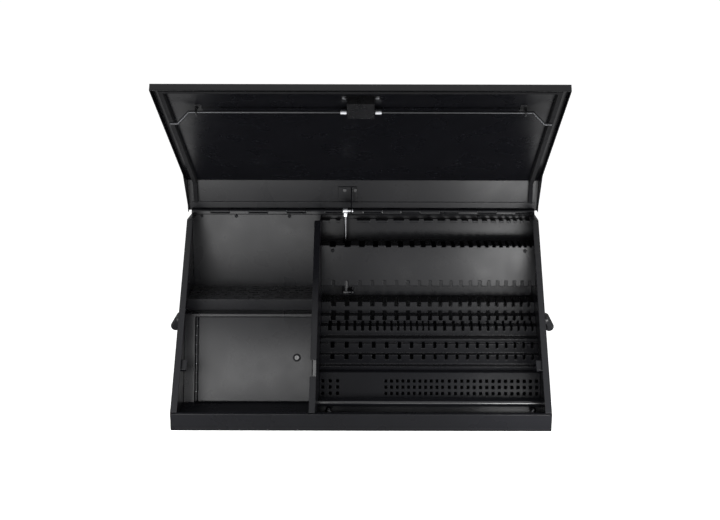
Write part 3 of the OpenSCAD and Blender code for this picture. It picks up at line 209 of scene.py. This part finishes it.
def matt_black():
    s = Shader("matt_black", COAT, 0.36, specular=0.06)
    s.fold()
    s.tint(s.noise(12.0, 4.0), (0.0032, 0.0033, 0.0042), (0.0046, 0.0047, 0.0060))
    s.roughen(s.noise(18.0, 3.0), 0.33, 0.40)
    s.bump(s.noise(800.0, 2.0), 0.08, 0.0002)
    return s.material


def strut_black():
    s = Shader("strut_black", (0.012, 0.012, 0.013), 0.3)
    s.tint(s.noise(30.0, 3.0), (0.010, 0.010, 0.011), (0.016, 0.016, 0.017))
    s.roughen(s.noise(60.0, 3.0), 0.24, 0.34)
    s.bump(s.noise(700.0, 2.0), 0.05, 0.0002)
    return s.material


def zinc_steel():
    s = Shader("zinc_steel", (0.62, 0.63, 0.66), 0.4, metallic=1.0)
    s.tint(s.noise(120.0, 4.0), (0.50, 0.51, 0.54), (0.72, 0.73, 0.75))
    s.roughen(s.noise(220.0, 3.0), 0.32, 0.48)
    s.bump(s.noise(60.0, 3.0, s.stretched(DRAWN_ALONG_X)), 0.03, 0.0001)
    return s.material


def dark_steel():
    s = Shader("dark_steel", (0.055, 0.056, 0.059), 0.34, metallic=1.0)
    s.tint(s.noise(140.0, 4.0), (0.043, 0.044, 0.047), (0.067, 0.068, 0.071))
    s.roughen(s.noise(240.0, 3.0), 0.28, 0.4)
    s.bump(s.noise(60.0, 3.0, s.stretched(DRAWN_ALONG_X)), 0.03, 0.0001)
    return s.material


def chrome_rod():
    s = Shader("chrome_rod", (0.045, 0.045, 0.047), 0.18, metallic=1.0)
    s.tint(s.noise(80.0, 3.0), (0.038, 0.038, 0.040), (0.052, 0.052, 0.054))
    s.roughen(s.noise(150.0, 2.0, s.stretched(RINGS_ALONG_ROD)), 0.08, 0.18)
    s.bump(s.noise(40.0, 2.0, s.stretched(FINE_RINGS_ALONG_ROD)), 0.03, 0.0001)
    return s.material


def grip_rubber():
    s = Shader("grip_rubber", (0.005, 0.005, 0.0055), 0.6, specular=0.12)
    s.tint(s.noise(50.0, 4.0), (0.004, 0.004, 0.0045), (0.007, 0.007, 0.0075))
    s.roughen(s.noise(90.0, 3.0), 0.5, 0.7)
    s.bump(s.noise(1100.0, 2.0), 0.2, 0.0003)
    return s.material


def foam_rubber():
    s = Shader("foam_rubber", COAT, 0.95, specular=0.2)
    s.tint(s.cells(600.0), (0.0025, 0.0025, 0.003), (0.007, 0.007, 0.008))
    s.roughen(s.noise(120.0, 3.0), 0.88, 1.0)
    s.bump(s.cells(600.0), 0.5, 0.0006)
    return s.material


FINISHES = [
    black_powder_coat, glossy_powder_coat, painted_light_powder_coat, ledge_black, matt_black, strut_black, zinc_steel,
    dark_steel, chrome_rod, grip_rubber, foam_rubber,
]

# Nodes that look different from their slot, under their finish
NODES_WITH = {
    "glossy_powder_coat": ("lockbox_front",),
    # The tool shelf's top is painted lighter, as painted light
    "painted_light_powder_coat": ("tool_shelf",),
    "ledge_black": ("front_ledge",),
    "dark_steel": ("strut_body_stud",),
    "matt_black": (
        "hinge_rivets", "panel_screws", "door_lock_body", "small_tool_rack", "left_handle_bail",
        "right_handle_bail",
    ),
    "strut_black": (
        # The latch housing takes this lighter black as painted light on its faces
        "striker_screws", "strut_bracket_bolts", "handle_pins", "handle_screws", "latch_housing",
        "door_lock_plug", "left_rod_guide", "right_rod_guide",
    ),
}
OWN_FINISH = {node: finish for finish, nodes in NODES_WITH.items() for node in nodes}


def dress_nodes():
    """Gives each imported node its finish, and rounds its edges a little."""
    made = {finish.__name__: finish() for finish in FINISHES}
    slot_of = {row["node"]: row["material_slot"] for row in frame["record"]["subparts"]}
    for name, obj in frame["nodes"].items():
        obj.data.materials.clear()
        obj.data.materials.append(made[OWN_FINISH.get(name, slot_of[name])])
        if name not in RIVETED:
            round_edges(obj)


def round_edges(obj):
    weld = obj.modifiers.new("weld", "WELD")
    weld.merge_threshold = WELD_GAP
    flat = obj.modifiers.new("flat", "DECIMATE")
    flat.decimate_type = "DISSOLVE"
    flat.angle_limit = FLAT_ANGLE
    bevel = obj.modifiers.new("round", "BEVEL")
    bevel.width = EDGE_ROUND
    bevel.segments = EDGE_SEGMENTS
    bevel.limit_method = "ANGLE"
    bevel.angle_limit = EDGE_ANGLE
    even = obj.modifiers.new("even", "WEIGHTED_NORMAL")
    even.keep_sharp = True
    even.weight = FLAT_FACE_WEIGHT


# Stage

def either(tree, first, second):
    node = tree.nodes.new("ShaderNodeMath")
    node.operation = "MAXIMUM"
    tree.links.new(first, node.inputs[0])
    tree.links.new(second, node.inputs[1])
    return node.outputs["Value"]


def mixed(tree, share, first, second):
    node = tree.nodes.new("ShaderNodeMixShader")
    tree.links.new(share, node.inputs["Fac"])
    tree.links.new(first, node.inputs[1])
    tree.links.new(second, node.inputs[2])
    return node.outputs["Shader"]


def shown_white(tree):
    """1 for rays that look at the background: from the camera, a mirror or glass."""
    path = tree.nodes.new("ShaderNodeLightPath")
    direct = either(tree, path.outputs["Is Camera Ray"], path.outputs["Is Glossy Ray"])
    return either(tree, direct, path.outputs["Is Transmission Ray"])


def make_world():
    world = bpy.data.worlds.new("studio")
    world.use_nodes = True
    tree = world.node_tree
    light = tree.nodes["Background"]
    light.inputs["Color"].default_value = WHITE
    light.inputs["Strength"].default_value = WORLD_AMBIENT
    white = tree.nodes.new("ShaderNodeBackground")
    white.inputs["Color"].default_value = WHITE
    white.inputs["Strength"].default_value = 1.0
    surface = mixed(tree, shown_white(tree), light.outputs["Background"], white.outputs["Background"])
    tree.links.new(surface, tree.nodes["World Output"].inputs["Surface"])
    bpy.context.scene.world = world


def floor_material():
    """White to the camera where it is lit, white in mirrors, and a plain pale floor to all other light."""
    material = bpy.data.materials.new("floor")
    material.use_nodes = True
    tree = material.node_tree
    bsdf = tree.nodes["Principled BSDF"]
    bsdf.inputs["Base Color"].default_value = FLOOR_COLOUR
    bsdf.inputs["Roughness"].default_value = FLOOR_ROUGHNESS
    lift = tree.nodes.new("ShaderNodeEmission")
    lift.inputs["Color"].default_value = WHITE
    lift.inputs["Strength"].default_value = FLOOR_LIFT
    lifted = tree.nodes.new("ShaderNodeAddShader")
    tree.links.new(bsdf.outputs["BSDF"], lifted.inputs[0])
    tree.links.new(lift.outputs["Emission"], lifted.inputs[1])
    white = tree.nodes.new("ShaderNodeEmission")
    white.inputs["Color"].default_value = WHITE
    path = tree.nodes.new("ShaderNodeLightPath")
    mirrored = either(tree, path.outputs["Is Glossy Ray"], path.outputs["Is Transmission Ray"])
    seen = mixed(tree, path.outputs["Is Camera Ray"], bsdf.outputs["BSDF"], lifted.outputs["Shader"])
    surface = mixed(tree, mirrored, seen, white.outputs["Emission"])
    tree.links.new(surface, tree.nodes["Material Output"].inputs["Surface"])
    return material


def make_floor():
    bpy.ops.mesh.primitive_plane_add(size=FLOOR_SIZE, location=(0, 0, -FLOOR_DROP))
    floor = bpy.context.object
    floor.name = "floor"
    floor.data.materials.append(floor_material())


def softbox(name, at, target, size, brightness):
    lamp = bpy.data.lights.new(name, "AREA")
    lamp.shape = "RECTANGLE"
    lamp.size, lamp.size_y = size
    lamp.energy = brightness * math.pi * size[0] * size[1]
    obj = bpy.data.objects.new(name, lamp)
    obj.location = at
    obj.rotation_euler = (Vector(target) - Vector(at)).to_track_quat("-Z", "Y").to_euler()
    obj.visible_camera = False
    bpy.context.scene.collection.objects.link(obj)


def make_lights():
    for name, (x, z, width, height, brightness) in FRONT_SOFTBOXES.items():
        softbox(name, (x, SOFTBOX_Y, z), (x, 0.0, z), (width, height), brightness)
    softbox("top_softbox", TOP_SOFTBOX_AT, TOP_SOFTBOX_TARGET, TOP_SOFTBOX_SIZE, TOP_SOFTBOX_BRIGHTNESS)


def make_camera():
    camera = bpy.data.objects.new("camera", bpy.data.cameras.new("camera"))
    camera.data.lens = CAMERA_LENS_MM
    camera.data.sensor_width = SENSOR_MM
    camera.data.shift_x = CAMERA_SHIFT
    camera.location = CAMERA_AT
    aim = CAMERA_LOOK.to_track_quat("-Z", "Y") @ Quaternion((0.0, 0.0, 1.0), CAMERA_ROLL)
    camera.rotation_euler = aim.to_euler()
    bpy.context.scene.collection.objects.link(camera)
    bpy.context.scene.camera = camera


bpy.context.scene.view_settings.view_transform = "Standard"
dress_nodes()
make_world()
make_floor()
make_lights()
make_camera()
